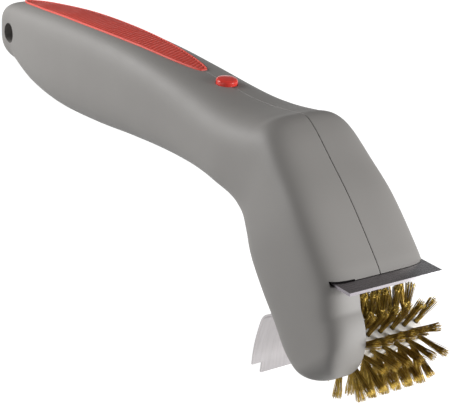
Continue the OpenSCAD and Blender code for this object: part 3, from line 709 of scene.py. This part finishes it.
right_mesh = shell_mesh(-1)
left_mesh = shell_mesh(1)
length = (HINGE_TO - HINGE_FROM).length
relief = block(HINGE_FROM, hinge_along, (-hinge_along.y, hinge_along.x, 0), (0, 0, 1),
               ((-0.4, length + 0.4), (0, 6), (-2.45, 0.15)))
for cut in (hinge_rod(HINGE_PIN_R + 0.05, 3), relief):
    left_mesh = combine(left_mesh, cut, "DIFFERENCE")
latch = block((-236, 15, 90.2), (1, 0, 0), (0, 1, 0), (0, 0, 1), ((0, 12), (0, 3), (0, 2.2)))
door_mesh = combine(mesh_from("door", *half_shell(1)), door_box(0), "INTERSECT")
for extra in (together(hinge_rod(HINGE_R, 0), latch), hinge_rod(HINGE_PIN_R, 2.4)):
    door_mesh = combine(door_mesh, extra, "UNION")

for name, mesh, body in (("right_shell", right_mesh, "root"), ("left_shell", left_mesh, "root"),
                         ("battery_door", door_mesh, "door")):
    smooth_by_angle(mesh, 32)
    piece("fine_" + name, mesh, "body_plastic", body, (name,))

grip_mesh = mesh_from("grip", *grip_solid(640))
smooth_by_angle(grip_mesh, 50)
piece("fine_grip_insert", grip_mesh, "grip_rubber", "root", ("grip_insert",))


# ---------- button ----------
def lathe(profile_points, sides=96):
    """A turned solid round the button's axis; each point is (radius, height)."""
    n = len(profile_points)
    base, upward = Vector((BUTTON_AT[0], 0, BUTTON_AT[1])), Vector(button_up)
    sideways, across = Vector(button_up).cross(Vector((0, 1, 0))), Vector((0, 1, 0))
    points = []
    for k in range(sides):
        a = 2 * math.pi * k / sides
        spoke = sideways * math.cos(a) + across * math.sin(a)
        points += [tuple(base + spoke * r + upward * h) for r, h in profile_points]
    faces = [(k * n + j, ((k + 1) % sides) * n + j, ((k + 1) % sides) * n + j + 1, k * n + j + 1)
             for k in range(sides) for j in range(n - 1)]
    return points, faces + [[k * n for k in range(sides)], [k * n + n - 1 for k in range(sides)]]


DOME_H, SIDE_H, SHOULDER = 2.55, 1.1, 0.7
crown = [(BUTTON_R - SHOULDER + SHOULDER * math.cos(math.radians(a)),
          SIDE_H + SHOULDER * math.sin(math.radians(a))) for a in range(0, 75, 12)]
start_r, start_h = crown[-1]
crown += [(start_r * math.cos(math.radians(a)), start_h + (DOME_H - start_h) * math.sin(math.radians(a)))
          for a in (10, 22, 34, 46, 58, 70, 80, 88)]
button_profile = [(2, -12), (2, -4.9), (BUTTON_R + 1.4, -4.9), (BUTTON_R + 1.4, -3.7), (BUTTON_R, -3.7)]
button_mesh = mesh_from("button", *lathe(button_profile + crown))
smooth_by_angle(button_mesh, 40)
piece("fine_power_button", button_mesh, "button_plastic", "button", ("power_button",))


# ---------- rear blade: one bent sheet ----------
def rear_blade():
    """The blade's middle surface: flange, curve and lip, without its notch and cut-out."""
    curve = [np.array(p, float) for p in REAR_CURVE]
    curve = [2 * curve[0] - curve[1]] + curve + [2 * curve[-1] - curve[-2]]
    path = smooth_rows(curve, 8) + [np.array(REAR_CURVE[-1], float)]
    flange = [np.array(REAR_BEND) + np.array(REAR_UP) * h for h in (10, 7.5, 5, 2.5, 1)]
    tail = [path[-1] + np.array((-0.133, -1.0)) * d for d in (1, 2, 4, 6)]
    rows = flange + path + tail
    columns = sorted({-26, -23, -20, -16, -12.5, 21, 26} | set(range(-10, 20, 4)))
    points = [(p[0], y, p[1]) for p in rows for y in columns]
    n, faces = len(columns), []
    for i in range(len(rows) - 1):
        for j in range(n - 1):
            y = (columns[j] + columns[j + 1]) / 2
            in_flange = i < len(flange) and not -12.5 < y < 21
            in_notch = i >= len(flange) + len(path) - 1 and y < -20
            if not in_flange and not in_notch:
                a = i * n + j
                faces.append((a, a + 1, a + n + 1, a + n))
    return points, faces


sheet_mesh = mesh_from("rear_blade", *rear_blade())
loose = bmesh.new()
loose.from_mesh(sheet_mesh)
bmesh.ops.delete(loose, geom=[v for v in loose.verts if not v.link_faces], context="VERTS")
loose.to_mesh(sheet_mesh)
loose.free()
smooth_by_angle(sheet_mesh, 30)
rear = piece("fine_rear_scraper", sheet_mesh, "rear_blade_steel", "root", ("rear_scraper",))
thick = rear.modifiers.new("thickness", "SOLIDIFY")
thick.thickness, thick.offset, thick.use_even_offset = 1.0 * MM, 0, True
add_bevel(rear, 0.18, 2, 50)


# ---------- bristles: every tuft a bundle of thin wires ----------
TUFT_ROWS, TUFT_PITCH, FIRST_ANGLE = 12, 7.4, 55.8
CORE_R, BRUSH_R = 7.5, 26
ROOT_R, TIP_R = 1.15, 2.45
WIRE_R = 0.12
WIRES = 58
GOLDEN_ANGLE = math.pi * (3 - math.sqrt(5))
THIRD_TURN = 2 * math.pi / 3


def bristles():
    """Points, faces and tones of all the wires, each a thin and slightly wavy three-sided bar."""
    draw = random.Random(7)
    points, faces, tones = [], [], []

    def wire(w, lean, outward, around, middle_y):
        r, a = math.sqrt((w + 0.5) / WIRES), w * GOLDEN_ANGLE
        spot = Vector((r * math.cos(a), r * math.sin(a)))
        spread = spot * (TIP_R - WIRE_R) + lean * 0.5
        spread += Vector((draw.gauss(0, 0.28), draw.gauss(0, 0.28)))
        wave, phase = draw.uniform(0.04, 0.13), draw.uniform(0, 6.28)
        reach = BRUSH_R - abs(draw.gauss(0, 0.45)) - 0.25 * r
        turns = [phase + j * THIRD_TURN for j in range(3)]
        corners = [Vector((math.cos(t), math.sin(t))) * WIRE_R for t in turns]
        base = len(points)
        stations = (CORE_R - 2, CORE_R + 0.8, 12, 16, 19.5, 23, reach)
        for height in stations:
            u = max(height - CORE_R, 0) / (BRUSH_R - CORE_R)
            bend = Vector((math.sin(height * 1.1 + phase), math.cos(height * 1.3 + phase)))
            place = spot * (ROOT_R - WIRE_R) * (1 - u) + spread * u ** 1.15
            place += bend * wave * min(u * 3, 1)
            for corner in corners:
                q = place + corner
                points.append(tuple(outward * height + around * q.x + Vector((0, middle_y + q.y, 0))))
        for i in range(len(stations) - 1):
            for j in range(3):
                b, c = base + 3 * i + j, base + 3 * i + (j + 1) % 3
                faces.append((b, c, c + 3, b + 3))
        last = len(points) - 3
        faces.extend([(base, base + 2, base + 1), (last, last + 1, last + 2)])
        tones.extend([draw.random()] * (3 * len(stations)))

    for row in range(TUFT_ROWS):
        angle = math.radians(FIRST_ANGLE + 360 * row / TUFT_ROWS)
        outward = Vector((math.cos(angle), 0, math.sin(angle)))
        around = Vector((-math.sin(angle), 0, math.cos(angle)))
        for k in range(-1, 5):
            lean = Vector((draw.uniform(-0.5, 0.5), draw.uniform(-0.5, 0.5)))
            for w in range(WIRES):
                wire(w, lean, outward, around, TUFT_PITCH * (k - (row % 2) / 2))
    return points, faces, tones


wire_points, wire_faces, wire_tones = bristles()
wire_mesh = bpy.data.meshes.new("wires")
wire_mesh.from_pydata([tuple(placed(*p)) for p in wire_points], [], wire_faces)
tone = wire_mesh.attributes.new("tone", "FLOAT", "POINT")
tone.data.foreach_set("value", wire_tones)
wire_mesh.shade_smooth()
piece("wire_tufts", wire_mesh, "brass_wire", "brush", ("bristle_tufts",))

# ---------- the other nodes keep their CAD shape ----------
REPLACED = {"right_shell", "left_shell", "battery_door", "grip_insert", "power_button",
            "rear_scraper", "bristle_tufts"}
for name, node in nodes.items():
    if name in REPLACED:
        continue
    node.data.materials.clear()
    node.data.materials.append(MATERIALS[slot_of[name]])
    for polygon in node.data.polygons:
        polygon.material_index = 0
add_bevel(nodes["front_scraper"], 0.22, 2)
add_bevel(nodes["hood_liner"], 0.25, 2, 50)

# ---------- floor and light ----------
floor_mesh = bpy.data.meshes.new("floor")
FLOOR = 6.0
floor_mesh.from_pydata([(-FLOOR, -FLOOR, 0), (FLOOR, -FLOOR, 0), (FLOOR, FLOOR, 0), (-FLOOR, FLOOR, 0)], [],
                       [(0, 1, 2, 3)])
floor = bpy.data.objects.new("floor", floor_mesh)
scene.collection.objects.link(floor)
floor_material, _, floor_shader = new_material("pale_floor")
floor_shader.inputs["Base Color"].default_value = (0.35, 0.35, 0.35, 1)
floor_shader.inputs["Roughness"].default_value = 0.9
floor_shader.inputs["Emission Color"].default_value = (1, 1, 1, 1)
floor_shader.inputs["Emission Strength"].default_value = 0.9
floor_mesh.materials.append(floor_material)
floor.visible_diffuse = False


def softbox(name, direction, distance, size, power):
    """A large soft lamp on this side of the object, turned to its middle."""
    data = bpy.data.lights.new(name, "AREA")
    data.shape, data.size, data.size_y, data.energy = "RECTANGLE", size[0], size[1], power
    lamp = bpy.data.objects.new(name, data)
    scene.collection.objects.link(lamp)
    target = (cad_box[0] + cad_box[1]) / 2
    lamp.location = target + Vector(direction).normalized() * distance
    lamp.rotation_mode = "QUATERNION"
    lamp.rotation_quaternion = (target - lamp.location).to_track_quat("-Z", "Y")


softbox("left_softbox", (-0.70, -0.70, 0.18), 1.0, (0.6, 0.6), 10.2)
softbox("right_softbox", (0.86, 0.50, 0.30), 1.2, (0.7, 0.7), 17.5)
world = bpy.data.worlds.new("studio")
scene.world = world
world.use_nodes = True
world.node_tree.nodes["Background"].inputs["Color"].default_value = (1, 1, 1, 1)
world.node_tree.nodes["Background"].inputs["Strength"].default_value = 0.16
